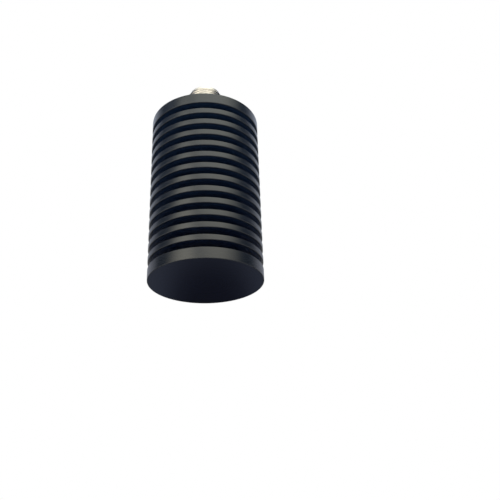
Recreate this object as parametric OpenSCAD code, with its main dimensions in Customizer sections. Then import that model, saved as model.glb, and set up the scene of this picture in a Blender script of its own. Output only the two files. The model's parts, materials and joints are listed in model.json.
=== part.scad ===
// RF dummy load: a finned heat sink turned from bar, with a coaxial jack on one end
// and a power resistor on a half-round carrier inside.
// It stands on its closed end with the jack up. Lengths are millimetres.
// The origin is the centre of the closed end's face, and +Z runs up the axis.

/* [Heat sink] */
// Diameter over the fins and the end flanges
body_d = 44; // [40:0.5:60]
// Length of the body from the closed end's face to the jack's seat
body_h = 71.6; // [60:0.2:110]
// Number of fins between the end flanges, with a groove on each side of every fin
fin_count = 12; // [6:1:15]
// Thickness of one fin
fin_t = 2.2; // [1.6:0.1:2.8]
// Thickness of the flange at the closed end
closed_end_t = 4.4; // [3:0.1:8]
// Thickness of the flange that carries the jack
open_end_t = 4.4; // [3.5:0.1:8]
// Wall between the bore and the foot of the grooves
core_wall = 5; // [3:0.5:7]
// Solid metal between the closed end's face and the bore
bore_floor_t = 20; // [8:1:26]
// Width of the bevel that breaks each rim's edge
edge_break = 0.2; // [0.1:0.05:0.5]

/* [Jack] */
// Outside diameter of the coupling thread
thread_d = 15.875; // [14.375:0.125:18.375]
// Length of the coupling thread
thread_l = 10; // [8:0.2:14]
// Depth of the thread's grooves, which sets the neck
thread_depth = 0.7; // [0.4:0.05:0.9]
// Distance from one turn of the coupling thread to the next
thread_pitch = 1.058; // [0.8:0.001:1.4]
// Length of the bevel at each end of the thread
lead_l = 0.6; // [0.4:0.1:1]
// Length of the plain lip in front of the thread
lip_l = 2; // [0.8:0.1:3]
// How far the lip is set in from the foot of the thread
lip_step = 0.7; // [0.2:0.05:0.9]
// Length of the plain neck behind the thread
neck_l = 0.8; // [0.6:0.1:3]
// Distance between the mounting plate's screw holes along each side
hole_pitch = 18.26; // [17.5:0.01:20]
// Distance from the middle of a screw hole to the edge of the plate
plate_edge = 3.57; // [3.2:0.01:5]
// Thickness of the mounting plate
plate_t = 2.4; // [1.6:0.1:3]
// Length cut off each corner of the plate along its diagonal
corner_cut = 1.4; // [0.5:0.1:2.5]
// Length of the spigot that sits in the heat sink's bore
spigot_l = 5; // [3:0.5:8]
// Diameter of the mouth that takes the plug's sleeve
mouth_d = 8.1; // [7.5:0.1:9]
// Depth of the mouth to the reference shoulder
mouth_depth = 9.1; // [8:0.1:10]
// Width of the bevel at the mouth's edge
mouth_bevel = 0.5; // [0.2:0.1:0.8]
// Diameter of the throat behind the reference shoulder
throat_d = 7; // [6:0.1:7.4]
// Length of the throat
throat_l = 1.2; // [0.8:0.1:2]
// Diameter of the insulator
insulator_d = 10.1; // [9:0.1:11]

/* [Centre contact] */
// Outside diameter of the contact
contact_d = 3.04; // [2.6:0.01:3.4]
// How far the contact stands in front of the reference shoulder
contact_lead = 5; // [4:0.1:6]
// Diameter of the hole that takes the plug's pin
socket_d = 1.68; // [1.4:0.01:1.9]
// Depth of that hole
socket_depth = 6; // [5:0.5:8]
// Width of the slits that let the contact spring
slit_w = 0.25; // [0.15:0.05:0.3]
// Length of the slits
slit_l = 4.5; // [3:0.5:4.9]
// Diameter of the solder tail
tail_d = 1.6; // [1.2:0.1:2]
// Length of the tail inside the insulator
tail_grip_l = 3; // [2:0.5:5]
// How far the tail reaches past the insulator
tail_reach = 5; // [4:0.5:8]
// Distance of the tail's flat from the axis
tail_flat_h = 0.3; // [0.1:0.1:0.5]
// How far that flat runs past the lead
flat_run = 1; // [0.5:0.1:1.5]

/* [Plate screws] */
// Thread diameter of the plate screws
plate_screw_d = 3; // [2.5:0.5:3.5]
// Length of the plate screws under the head
plate_screw_l = 6; // [5:1:8]
// Diameter of their heads
plate_head_d = 5.6; // [5:0.1:6]
// Height of their heads
plate_head_h = 2.2; // [1.8:0.1:2.6]
// Thickness of the lock washers
washer_t = 0.8; // [0.5:0.1:1.2]
// Outside diameter of the lock washers
washer_d = 6; // [5.4:0.1:6.4]
// Width of the washers' split
split_w = 0.6; // [0.3:0.1:1]

/* [Load resistor] */
// Width of the ceramic plate across the bore
ceramic_w = 5.6; // [4:0.1:8]
// Length of the ceramic plate along the bore
ceramic_l = 5; // [4:0.1:8]
// Thickness of the ceramic plate
ceramic_t = 1; // [0.6:0.1:1.6]
// Thickness of the resistor's flange
flange_t = 1.6; // [1:0.1:2]
// Bare border of the flange above and below the ceramic plate
flange_border = 0.5; // [0.2:0.1:1.5]
// Distance from the middle of a flange hole to the end of the flange
flange_edge = 2; // [1.5:0.1:3]
// Thickness of the printed film
film_t = 0.1; // [0.05:0.05:0.2]
// Bare border of the ceramic around the film
film_border = 0.4; // [0.2:0.1:0.6]
// Length of the film's pad that the lead lies on
pad_l = 1.2; // [0.8:0.1:1.4]
// Gap between the cover and the lead
lead_gap = 0.3; // [0.2:0.1:0.5]
// Thickness of the ceramic cover
cover_t = 0.8; // [0.5:0.1:1.2]
// Width of the lead
tab_w = 1.4; // [1:0.1:2]
// Thickness of the lead
tab_t = 0.2; // [0.1:0.05:0.3]
// Length of the lead that lies on the tail
tab_lap = 3; // [2:0.1:3.5]
// Bare length of the lead at each end of the solder
solder_gap = 0.3; // [0.1:0.1:0.6]
// Gap between the flange and the end of the tail
tail_gap = 0.5; // [0.2:0.1:2]
// Thread diameter of the resistor's screws
flange_screw_d = 2; // [1.6:0.1:2.5]
// Length of the resistor's screws under the head
flange_screw_l = 4; // [3:0.5:5]
// Diameter of their heads
flange_head_d = 3.6; // [3.2:0.1:4.5]
// Height of their heads
flange_head_h = 1.3; // [1:0.1:1.8]

/* [Fits] */
// Radial room between a piece and the hole that it sits in
slip_fit = 0.05; // [0.02:0.01:0.1]
// Radial room of a screw in a clearance hole
screw_room = 0.2; // [0.1:0.05:0.3]
// Room below the tip of a screw
tip_room = 0.5; // [0.2:0.1:0.8]
// Room between the ceramic plate and the head of a screw
head_room = 0.4; // [0.2:0.1:1]
// Least room between the resistor's flange and the wall of the bore
bore_room = 0.4; // [0.2:0.1:1]
// Least metal between the end of a screw hole and the outside of the carrier
carrier_skin = 0.6; // [0.4:0.1:1.5]

/* [Hidden] */
$fn = 96;
// Overrun of a cutting shape past the face that it opens
cut = 1;
// Dome and cross recess of a pan head, as shares of the head's diameter and height
dome_share = 1;
recess_w_share = 0.16;
recess_l_share = 0.56;
recess_depth_share = 0.6;
// Flats on the crests and roots of the coupling thread, as shares of its pitch
crest_share = 1 / 8;
root_share = 1 / 9;
// Lean of the cut through a lock washer
split_slant = 20;
// Step between drill diameters
drill_step = 1;

// Grooves share what the fins and the end flanges leave of the body's length
groove_w = (body_h - closed_end_t - open_end_t - fin_count * fin_t) / (fin_count + 1);
fin_pitch = fin_t + groove_w;

// Heights along the axis, up from the closed end's face
spigot_z = body_h - spigot_l;
plate_top_z = body_h + plate_t;
thread_z = plate_top_z + neck_l + lead_l;
thread_top_z = thread_z + thread_l;
turn_count = floor(thread_l / thread_pitch);
first_turn_z = thread_z + (thread_l - turn_count * thread_pitch) / 2;
jack_top_z = thread_top_z + lead_l + lip_l;
shoulder_z = jack_top_z - mouth_depth;
bead_top_z = shoulder_z - throat_l;
contact_top_z = shoulder_z + contact_lead;
contact_step_z = spigot_z + tail_grip_l;
tail_z = spigot_z - tail_reach;
ceramic_top_z = tail_z - tail_gap - flange_border;
resistor_z = ceramic_top_z - ceramic_l / 2;

// Places across the axis: the resistor's layers stack up along +X to the tail's flat
tab_x = tail_flat_h;
film_x = tab_x - film_t;
ceramic_x = film_x - ceramic_t;
flange_x = ceramic_x - flange_t;

// Flange of the resistor: its screw heads stand beside the ceramic plate
flange_pitch = ceramic_w + flange_head_d + 2 * head_room;
flange_w = flange_pitch + 2 * flange_edge;
flange_l = ceramic_l + 2 * flange_border;

// Screw holes: their radius and their depth below the face that they open
plate_hole_r = plate_screw_d / 2 + slip_fit;
plate_hole_depth = plate_screw_l - plate_t - washer_t + tip_room;
flange_hole_r = flange_screw_d / 2 + slip_fit;
flange_hole_depth = flange_screw_l - flange_t + tip_room;

// Bore: the next drill that clears the resistor's flange and leaves metal on the carrier
// around the ends of its screw holes
flange_corner_r = norm([flange_w / 2, flange_x]);
hole_corner_r = norm([flange_pitch / 2 + flange_hole_r, flange_x - flange_hole_depth]);
least_bore_r = max(flange_corner_r + bore_room, hole_corner_r + carrier_skin + slip_fit);
bore_d = ceil(2 * least_bore_r / drill_step) * drill_step;

// Radii
body_r = body_d / 2;
bore_r = bore_d / 2;
core_r = bore_r + core_wall;
seat_r = bore_r - slip_fit;
thread_r = thread_d / 2;
root_r = thread_r - thread_depth;
lip_r = root_r - lip_step;
bead_r = insulator_d / 2;
tail_r = tail_d / 2;
plate_w = hole_pitch + 2 * plate_edge;
plate_corner_r = plate_w / sqrt(2) - corner_cut;

// Film and cover: the film leaves a border on three sides and ends in the lead's pad
film_w = ceramic_w - 2 * film_border;
film_z = ceramic_top_z - ceramic_l + film_border;
cover_z = film_z + film_border;
cover_top_z = ceramic_top_z - pad_l;

// Rim of one fin or flange between two heights, with its two edges broken
function rim(z0, z1) = [
    [body_r - edge_break, z0],
    [body_r, z0 + edge_break],
    [body_r, z1 - edge_break],
    [body_r - edge_break, z1]
];

// One fin, from the foot of the groove below it to the foot of the groove above it
function fin(z0) = concat([[core_r, z0]], rim(z0, z0 + fin_t), [[core_r, z0 + fin_t]]);

// One groove of the coupling thread, as a plain ring, from the middle of one crest to the next
function thread_groove(z) = [
    [thread_r, z + thread_pitch * crest_share / 2],
    [root_r, z + thread_pitch * (1 - root_share) / 2],
    [root_r, z + thread_pitch * (1 + root_share) / 2],
    [thread_r, z + thread_pitch * (1 - crest_share / 2)]
];

// Copies of a piece at the plate's four screw holes
module at_plate_holes() {
    for (x = [-1, 1], y = [-1, 1])
        translate([x * hole_pitch / 2, y * hole_pitch / 2, 0]) children();
}

// Copies of a piece at the resistor flange's two holes, turned so that +Z faces +X
module at_flange_holes(x) {
    for (y = [-1, 1])
        translate([x, y * flange_pitch / 2, resistor_z]) rotate([0, 90, 0]) children();
}

// Pan head screw with a cross recess: the head sits on z = 0 and the shank runs down
module pan_screw(d, l, head_d, head_h) {
    dome_r = head_d * dome_share;
    recess_w = head_d * recess_w_share;
    recess_l = head_d * recess_l_share;
    recess_depth = head_h * recess_depth_share;
    difference() {
        union() {
            translate([0, 0, -l]) cylinder(d = d, h = l);
            intersection() {
                cylinder(d = head_d, h = head_h);
                translate([0, 0, head_h - dome_r]) sphere(r = dome_r);
            }
        }
        for (turn = [0, 90])
            rotate([0, 0, turn])
                translate([-recess_l / 2, -recess_w / 2, head_h - recess_depth])
                    cube([recess_l, recess_w, recess_depth + cut]);
    }
}

// Flat plate of the resistor, centred across the bore, given by its lowest X and Z
module layer(x, z, t, w, l) {
    translate([x, -w / 2, z]) cube([t, w, l]);
}

// Turned body: fins, end flanges and the blind bore, with the tapped holes for the plate
module heat_sink() {
    fins = [
        for (i = [0 : fin_count - 1])
            each fin(closed_end_t + groove_w + i * fin_pitch)
    ];
    outline = concat(
        [[0, 0]],
        rim(0, closed_end_t),
        [[core_r, closed_end_t]],
        fins,
        [[core_r, body_h - open_end_t]],
        rim(body_h - open_end_t, body_h),
        [[bore_r, body_h], [bore_r, bore_floor_t], [0, bore_floor_t]]
    );
    color("#2b2d30")
        difference() {
            rotate_extrude() polygon(outline);
            at_plate_holes()
                translate([0, 0, body_h - plate_hole_depth])
                    cylinder(r = plate_hole_r, h = plate_hole_depth + cut);
        }
}

// Jack body: spigot, square plate, neck, coupling thread as plain rings, and lip
module jack_shell() {
    grooves = [
        for (i = [0 : turn_count - 1])
            each thread_groove(first_turn_z + i * thread_pitch)
    ];
    barrel = concat(
        [
            [bead_r, spigot_z],
            [seat_r, spigot_z],
            [seat_r, body_h],
            [root_r, body_h],
            [root_r, plate_top_z + neck_l],
            [thread_r, thread_z]
        ],
        grooves,
        [
            [thread_r, thread_top_z],
            [root_r, thread_top_z + lead_l],
            [lip_r, thread_top_z + lead_l],
            [lip_r, jack_top_z],
            [mouth_d / 2 + mouth_bevel, jack_top_z],
            [mouth_d / 2, jack_top_z - mouth_bevel],
            [mouth_d / 2, shoulder_z],
            [throat_d / 2, shoulder_z],
            [throat_d / 2, bead_top_z],
            [bead_r, bead_top_z]
        ]
    );
    color("#d8d2c4")
        union() {
            rotate_extrude() polygon(barrel);
            translate([0, 0, body_h])
                difference() {
                    intersection() {
                        translate([-plate_w / 2, -plate_w / 2, 0]) cube([plate_w, plate_w, plate_t]);
                        cylinder(r = plate_corner_r, h = plate_t);
                    }
                    translate([0, 0, -cut]) cylinder(r = (bead_r + root_r) / 2, h = plate_t + 2 * cut);
                    at_plate_holes()
                        translate([0, 0, -cut])
                            cylinder(r = plate_screw_d / 2 + screw_room, h = plate_t + 2 * cut);
                }
        }
}

// Insulating bead: it fills the jack behind the throat and steps in to hold the contact
module jack_insulator() {
    grip_r = tail_r + slip_fit;
    hold_r = contact_d / 2 + slip_fit;
    color("#f2f1ec")
        rotate_extrude()
            polygon([
                [grip_r, spigot_z],
                [bead_r - slip_fit, spigot_z],
                [bead_r - slip_fit, bead_top_z],
                [hold_r, bead_top_z],
                [hold_r, contact_step_z],
                [grip_r, contact_step_z]
            ]);
}

// Centre contact: socket with four slits in front, solder tail with a flat behind
module centre_contact() {
    contact_r = contact_d / 2;
    color("#d9a941")
        difference() {
            rotate_extrude()
                polygon([
                    [0, tail_z],
                    [tail_r, tail_z],
                    [tail_r, contact_step_z],
                    [contact_r, contact_step_z],
                    [contact_r, contact_top_z],
                    [socket_d / 2, contact_top_z],
                    [socket_d / 2, contact_top_z - socket_depth],
                    [0, contact_top_z - socket_depth]
                ]);
            for (turn = [0, 90])
                rotate([0, 0, turn])
                    translate([-contact_d, -slit_w / 2, contact_top_z - slit_l])
                        cube([2 * contact_d, slit_w, slit_l + cut]);
            translate([tail_flat_h, -tail_d, tail_z - cut])
                cube([tail_d, 2 * tail_d, tab_lap + flat_run + cut]);
        }
}

// Four screws that hold the plate to the heat sink
module plate_screws() {
    color("#b9babb")
        translate([0, 0, plate_top_z + washer_t])
            at_plate_holes()
                pan_screw(plate_screw_d, plate_screw_l, plate_head_d, plate_head_h);
}

// Four split washers, pressed flat under the heads
module lock_washers() {
    color("#a9abad")
        translate([0, 0, plate_top_z])
            at_plate_holes()
                difference() {
                    cylinder(d = washer_d, h = washer_t);
                    translate([0, 0, -cut])
                        cylinder(r = plate_hole_r, h = washer_t + 2 * cut);
                    translate([0, 0, washer_t / 2])
                        rotate([split_slant, 0, 0])
                            translate([0, -split_w / 2, -washer_d / 2])
                                cube([washer_d, split_w, washer_d]);
                }
}

// Half-round copper bar from the bore's floor to the spigot, with a flat for the resistor
module resistor_carrier() {
    carrier_h = spigot_z - bore_floor_t;
    color("#b8734a")
        difference() {
            translate([0, 0, bore_floor_t]) cylinder(r = seat_r, h = carrier_h);
            translate([flange_x, -body_r, bore_floor_t - cut])
                cube([body_d, body_d, carrier_h + 2 * cut]);
            at_flange_holes(flange_x - flange_hole_depth)
                cylinder(r = flange_hole_r, h = flange_hole_depth + cut);
        }
}

// Mounting flange of the resistor, with a hole at each end
module resistor_flange() {
    color("#c9c2ae")
        difference() {
            layer(flange_x, resistor_z - flange_l / 2, flange_t, flange_w, flange_l);
            at_flange_holes(flange_x - cut)
                cylinder(r = flange_screw_d / 2 + screw_room, h = flange_t + 2 * cut);
        }
}

// Ceramic plate that carries the film
module resistor_ceramic() {
    color("#e9e6dc")
        layer(ceramic_x, ceramic_top_z - ceramic_l, ceramic_t, ceramic_w, ceramic_l);
}

// Printed film with the pad for the lead at its upper end
module resistor_film() {
    color("#4a463f")
        layer(film_x, film_z, film_t, film_w, ceramic_top_z - film_z);
}

// Ceramic cover over the film, short of the lead's pad
module resistor_cover() {
    color("#f4f2ea")
        layer(tab_x, cover_z, cover_t, film_w, cover_top_z - cover_z);
}

// Flat lead from the film's pad to the tail of the contact
module resistor_tab() {
    tab_z = cover_top_z + lead_gap;
    color("#d5d4d0")
        layer(tab_x, tab_z, tab_t, tab_w, tail_z + tab_lap - tab_z);
}

// Two screws that hold the resistor's flange to the carrier
module resistor_screws() {
    color("#b9babb")
        at_flange_holes(ceramic_x)
            pan_screw(flange_screw_d, flange_screw_l, flange_head_d, flange_head_h);
}

// Half-round run of solder on the lead, over the tail
module solder_bead() {
    color("#c4c5c6")
        intersection() {
            translate([tab_x + tab_t, 0, tail_z + solder_gap])
                cylinder(d = tab_w, h = tab_lap - 2 * solder_gap);
            layer(tab_x + tab_t, tail_z, tab_w, 2 * tab_w, tab_lap);
        }
}

heat_sink();
jack_shell();
jack_insulator();
centre_contact();
plate_screws();
lock_washers();
resistor_carrier();
resistor_flange();
resistor_ceramic();
resistor_film();
resistor_cover();
resistor_tab();
resistor_screws();
solder_bead();
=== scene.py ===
import json
import math

import bpy
from bpy.props import FloatProperty, FloatVectorProperty, IntProperty, PointerProperty
from mathutils import Matrix, Vector


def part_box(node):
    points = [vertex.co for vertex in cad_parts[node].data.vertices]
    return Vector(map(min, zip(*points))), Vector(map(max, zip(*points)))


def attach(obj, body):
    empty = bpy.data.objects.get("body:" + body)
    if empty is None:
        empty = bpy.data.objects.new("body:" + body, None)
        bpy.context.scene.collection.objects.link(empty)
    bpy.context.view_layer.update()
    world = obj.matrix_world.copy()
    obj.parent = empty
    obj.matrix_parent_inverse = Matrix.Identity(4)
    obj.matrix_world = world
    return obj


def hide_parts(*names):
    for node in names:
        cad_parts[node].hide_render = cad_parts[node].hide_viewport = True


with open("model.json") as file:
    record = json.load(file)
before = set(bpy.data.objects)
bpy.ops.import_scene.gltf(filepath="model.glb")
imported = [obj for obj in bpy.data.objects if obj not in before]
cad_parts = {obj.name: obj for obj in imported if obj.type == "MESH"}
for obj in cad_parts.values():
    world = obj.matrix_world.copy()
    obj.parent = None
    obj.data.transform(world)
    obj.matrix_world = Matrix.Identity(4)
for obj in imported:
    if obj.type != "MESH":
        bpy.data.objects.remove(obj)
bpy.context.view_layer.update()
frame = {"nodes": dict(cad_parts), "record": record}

bl_info = {
    "name": "RF dummy load",
    "version": (1, 0, 0),
    "blender": (4, 5, 0),
    "location": "3D View > Sidebar > Dummy load",
    "description": "Models and finishes a finned coaxial dummy load around its packed solids",
    "category": "Object",
}

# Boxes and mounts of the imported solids, from which the default sizes come, in metres
SINK_LOW, SINK_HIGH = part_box("heat_sink")
SHELL_LOW, SHELL_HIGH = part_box("jack_shell")
BEAD_LOW, BEAD_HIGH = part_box("jack_insulator")
CONTACT_LOW, CONTACT_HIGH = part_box("centre_contact")
SCREW_LOW, SCREW_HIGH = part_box("plate_screws")
WASHER_LOW, WASHER_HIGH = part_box("lock_washers")
MOUNTS = {mount["name"]: mount for mount in frame["record"]["mounts"]}
MM = 0.001
THREAD_R = MOUNTS["coupling_thread"]["dims"]["r_mm"] * MM
THREAD_L = MOUNTS["coupling_thread"]["dims"]["length_mm"] * MM
SOCKET_R = MOUNTS["contact_socket"]["dims"]["r_mm"] * MM
SOCKET_L = MOUNTS["contact_socket"]["dims"]["length_mm"] * MM

# Steps of a full turn on the pieces turned on a lathe, large and small
BODY_STEPS = 256
JACK_STEPS = 128
SMALL_STEPS = 64
# Steps along a rounded corner, a cut corner of the plate, its rounded edges and a screw head's dome
CORNER_STEPS = 3
CUT_CORNER_STEPS = 6
PLATE_EDGE_STEPS = 2
DOME_STEPS = 8
# Points nearer than this are one point
MERGE = 1e-7
# Overrun of a cutter past the face that it opens
OVERRUN = 1 * MM
# How far the back of the thread's cutter stands out from the crest
CUTTER_RISE = 0.05 * MM
# Angle between faces above which an edge stays sharp
SHARP_ANGLE = math.radians(35)
# Pull of wide faces, from 1 to 100, on the shading of the small roundings at their edges
FLAT_PULL = 100


def length(name, description, default):
    """A size that the user may change."""
    return FloatProperty(
        name=name, description=description, default=default, min=0, precision=5,
        unit="LENGTH", subtype="DISTANCE",
    )


def angle(name, description, degrees):
    """A turn that the user may change."""
    return FloatProperty(
        name=name, description=description, default=math.radians(degrees),
        unit="ROTATION", subtype="ANGLE",
    )


def tone(name, description, default):
    """A colour that the user may change, as linear red, green and blue."""
    return FloatVectorProperty(
        name=name, description=description, default=default, size=3, min=0, max=1, subtype="COLOR",
    )


def share(name, description, default):
    """A number from 0 to 1 that the user may change."""
    return FloatProperty(
        name=name, description=description, default=default, min=0, max=1, subtype="FACTOR",
    )


class SinkSizes(bpy.types.PropertyGroup):
    """Sizes of the finned body."""

    diameter: length("Diameter", "Over the fins and the end flanges", 2 * SINK_HIGH.x)
    height: length("Height", "From the closed end to the jack's seat", SINK_HIGH.z - SINK_LOW.z)
    fin_count: IntProperty(name="Fins", description="Fins between the end flanges", default=12, min=1)
    fin: length("Fin", "Thickness of one fin", 2.2 * MM)
    closed_end: length("Closed end", "Thickness of the flange at the closed end", 4.4 * MM)
    open_end: length("Open end", "Thickness of the flange under the jack", 4.4 * MM)
    core: length("Core", "Diameter at the foot of the grooves", 28 * MM)
    bore: length("Bore", "Diameter of the bore", 18 * MM)
    bore_floor: length("Bore floor", "Metal between the closed end and the bore", 20 * MM)
    edge: length("Edge", "Rounding of each rim's edges", 0.2 * MM)
    foot: length("Groove foot", "Rounding that the tool leaves in the grooves' corners", 0.3 * MM)
    tapped: length("Tapped hole", "Depth of the holes for the plate screws", 3.3 * MM)


class JackSizes(bpy.types.PropertyGroup):
    """Sizes of the jack's shell."""

    thread: length("Thread", "Outside diameter of the coupling thread", 2 * THREAD_R)
    thread_length: length("Thread length", "Length of the coupling thread", THREAD_L)
    pitch: length("Pitch", "Distance from one turn of the thread to the next", 1.058 * MM)
    depth: length("Thread depth", "Depth of the neck below the thread", 0.7 * MM)
    root_gap: length("Root gap", "How far the thread's grooves stay above the neck", 0.03 * MM)
    flank: angle("Flank", "Lean of the thread's flanks", 30)
    crest: length("Crest", "Flat on top of the thread", 0.13 * MM)
    lead: length("Lead", "Length of the bevel at each end of the thread", 0.6 * MM)
    lip: length("Lip", "Plain lip in front of the thread", 2 * MM)
    lip_step: length("Lip step", "How far the lip is set in from the foot of the thread", 0.7 * MM)
    plate: length("Plate", "Width of the square plate", SHELL_HIGH.x - SHELL_LOW.x)
    plate_thickness: length("Plate thickness", "Thickness of the plate", WASHER_LOW.z - SINK_HIGH.z)
    plate_corner: length("Plate corner", "Distance of the plate's cut corners from the axis", 16.56 * MM)
    plate_edge: length("Plate edge", "Rounding of the plate's edges", 0.25 * MM)
    mouth: length("Mouth", "Diameter of the mouth", 8.1 * MM)
    mouth_depth: length("Mouth depth", "Depth of the mouth to its shoulder", 9.1 * MM)
    mouth_bevel: length("Mouth bevel", "Bevel at the mouth's edge", 0.5 * MM)
    throat: length("Throat", "Diameter of the throat behind the shoulder", 7 * MM)
    spigot: length("Spigot", "Diameter of the spigot in the body's bore", 17.9 * MM)
    bead: length("Bead seat", "Diameter of the hole for the insulator", 10.1 * MM)
    edge: length("Edge", "Rounding of the shell's small edges", 0.12 * MM)


class ContactSizes(bpy.types.PropertyGroup):
    """Sizes of the centre contact and of its seat in the insulator."""

    diameter: length("Diameter", "Outside of the contact", 2 * CONTACT_HIGH.x)
    socket: length("Socket", "Diameter of the hole for the plug's pin", 2 * SOCKET_R)
    socket_depth: length("Socket depth", "Depth of that hole", SOCKET_L)
    slit: length("Slit", "Width of the slits", 0.25 * MM)
    slit_length: length("Slit length", "Length of the slits", 4.5 * MM)
    tail: length("Tail", "Diameter of the solder tail", 1.6 * MM)
    grip: length("Grip", "Length of the tail inside the insulator", 3 * MM)
    flat: length("Flat", "Distance of the tail's flat from the axis", 0.3 * MM)
    flat_length: length("Flat length", "Length of the tail's flat", 4 * MM)
    edge: length("Edge", "Rounding of the contact's edges", 0.15 * MM)
    play: length("Play", "Room around the contact in the insulator", 0.05 * MM)


class FastenerSizes(bpy.types.PropertyGroup):
    """Sizes of the plate's screws and lock washers."""

    screw: length("Screw", "Diameter of the screws", 3 * MM)
    head: length("Head", "Diameter of their heads", 5.6 * MM)
    head_height: length("Head height", "Height of their heads", SCREW_HIGH.z - WASHER_HIGH.z)
    recess_width: length("Recess width", "Width of each arm of the cross recess", 0.9 * MM)
    recess_length: length("Recess length", "Length of each arm of the cross recess", 3.14 * MM)
    recess_depth: length("Recess depth", "Depth of the cross recess", 1.32 * MM)
    recess_taper: share("Recess taper", "Size of the recess's floor as a share of its top", 0.72)
    clearance: length("Clearance", "Radius of the plate's holes past the screws", 0.2 * MM)
    tapping: length("Tapping", "Radius of the body's holes and of the washers past the screws", 0.05 * MM)
    washer: length("Washer", "Outside diameter of the washers", 6 * MM)
    split: length("Split", "Width of the washers' split", 0.6 * MM)
    split_lean: angle("Split lean", "Lean of the washers' split", 20)
    edge: length("Edge", "Rounding of small edges", 0.15 * MM)


class FinishTones(bpy.types.PropertyGroup):
    """Colours of the finishes."""

    anodised: tone("Anodised", "Dyed anodic layer at the closed end", (0.0055, 0.0115, 0.036))
    # Painted light: the bluer, lighter tone that the body takes towards the open end
    anodised_blue_painted_light: tone("Anodised, blue", "Bluer dye towards the open end", (0.012, 0.029, 0.068))
    # Greyer tone that keeps the grooves' painted shade colour off the rims and the open end's face
    grey_where_unshaded: tone("Rubbed", "Dyed layer on the rims, greyed by handling", (0.008, 0.011, 0.014))
    worn_edge: tone("Worn edge", "Edges where the dyed layer is thin", (0.05, 0.053, 0.058))
    nickel: tone("Nickel", "Plating of the jack", (0.82, 0.805, 0.795))
    # Painted shade over dull plating, laid in the thread's grooves and at the lip's foot
    nickel_shade_and_dull: tone("Nickel, dull", "Dull plating in the thread's grooves", (0.26, 0.23, 0.2))
    insulator: tone("Insulator", "White plastic of the bead", (0.86, 0.85, 0.81))
    gold: tone("Gold", "Plating of the contact", (0.85, 0.62, 0.26))
    steel: tone("Steel", "Stainless screws and washers", (0.62, 0.62, 0.61))
    copper: tone("Copper", "Carrier of the resistor", (0.7, 0.38, 0.24))
    ceramic: tone("Ceramic", "Plate and cover of the resistor", (0.86, 0.85, 0.8))
    film: tone("Film", "Printed film of the resistor", (0.09, 0.08, 0.07))
    silver: tone("Silver", "Lead of the resistor", (0.82, 0.81, 0.78))
    solder: tone("Solder", "Solder on the lead", (0.66, 0.66, 0.66))


class StageSettings(bpy.types.PropertyGroup):
    """Camera and floor."""

    camera: FloatVectorProperty(
        name="Camera", description="Place of the camera", size=3, unit="LENGTH", subtype="TRANSLATION",
        default=(0, -0.22107, -0.09281),
    )
    pitch: angle("Pitch", "How far the camera looks up", 25.626)
    yaw: angle("Yaw", "How far the camera looks to the right", 4.421)
    roll: angle("Roll", "Turn of the camera about its line of sight", -2.117)
    lens: FloatProperty(name="Lens", description="Focal length", default=45.717, unit="CAMERA", min=1)
    floor: length("Floor", "Radius of the floor", 0.9)
    floor_tone: tone("Floor tone", "Colour of the floor", (0.88, 0.88, 0.88))


class DummyLoad(bpy.types.PropertyGroup):
    """All that a user may change on the dummy load."""

    sink: PointerProperty(type=SinkSizes)
    jack: PointerProperty(type=JackSizes)
    contact: PointerProperty(type=ContactSizes)
    fastener: PointerProperty(type=FastenerSizes)
    tones: PointerProperty(type=FinishTones)
    stage: PointerProperty(type=StageSettings)


# Modelling


def let_go():
    """Leave edit mode and select nothing."""
    if bpy.context.object and bpy.context.object.mode != "OBJECT":
        bpy.ops.object.mode_set(mode="OBJECT")
    bpy.ops.object.select_all(action="DESELECT")


def pick(piece):
    """Select one object and make it the active one."""
    let_go()
    piece.select_set(True)
    bpy.context.view_layer.objects.active = piece


def fix_place():
    """Put the place, turn and scale of the selected objects into their meshes."""
    bpy.ops.object.transform_apply(location=True, rotation=True, scale=True)


def rounded(outline):
    """Points of a closed outline of (radius, height, rounding), each rounded corner as an arc."""
    corners = [Vector(point[:2]) for point in outline]
    points = []
    for i, at in enumerate(corners):
        rounding = outline[i][2]
        if not rounding:
            points.append(at)
            continue
        back = (corners[i - 1] - at).normalized()
        on = (corners[(i + 1) % len(corners)] - at).normalized()
        half = back.angle(on) / 2
        centre = at + (back + on).normalized() * rounding / math.sin(half)
        reach = rounding / math.tan(half)
        first = at + back * reach - centre
        last = at + on * reach - centre
        for step in range(CORNER_STEPS + 1):
            points.append(centre + first.slerp(last, step / CORNER_STEPS) * rounding)
    return points


def draw(name, points):
    """Draw a line of edges through points, vertex by vertex, and stay in edit mode."""
    let_go()
    bpy.ops.mesh.primitive_plane_add(size=MM)
    piece = bpy.context.object
    piece.name = name
    piece.data.name = name
    bpy.ops.object.mode_set(mode="EDIT")
    bpy.ops.mesh.merge(type="CENTER")
    bpy.ops.transform.translate(value=points[0])
    for here, there in zip(points, points[1:]):
        bpy.ops.mesh.extrude_vertices_move(TRANSFORM_OT_translate={"value": there - here})
    bpy.ops.mesh.select_all(action="SELECT")
    return piece


def closed(points):
    """A line's points with its first one again at the end."""
    return points + points[:1]


def upright(points):
    """Points of (radius, height) set up in the plane y = 0."""
    return [Vector((point.x, 0, point.y)) for point in points]


def weld():
    """Merge the doubles of the mesh in edit mode, turn its faces outwards and leave edit mode."""
    bpy.ops.mesh.select_all(action="SELECT")
    bpy.ops.mesh.remove_doubles(threshold=MERGE)
    bpy.ops.mesh.normals_make_consistent(inside=False)
    bpy.ops.object.mode_set(mode="OBJECT")


def turn(name, outline, steps):
    """Turn a closed outline of (radius, height, rounding) about the axis into a solid."""
    points = upright(rounded(outline))
    on_axis = outline[0][0] == 0
    piece = draw(name, points if on_axis else closed(points))
    bpy.ops.mesh.spin(steps=steps, angle=2 * math.pi, center=(0, 0, 0), axis=(0, 0, 1))
    weld()
    return piece


def block(low, high):
    """Plain box between two corners, used as a cutter."""
    let_go()
    low = Vector(low)
    high = Vector(high)
    bpy.ops.mesh.primitive_cube_add(size=1, location=(low + high) / 2, scale=high - low)
    fix_place()
    return bpy.context.object


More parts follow.
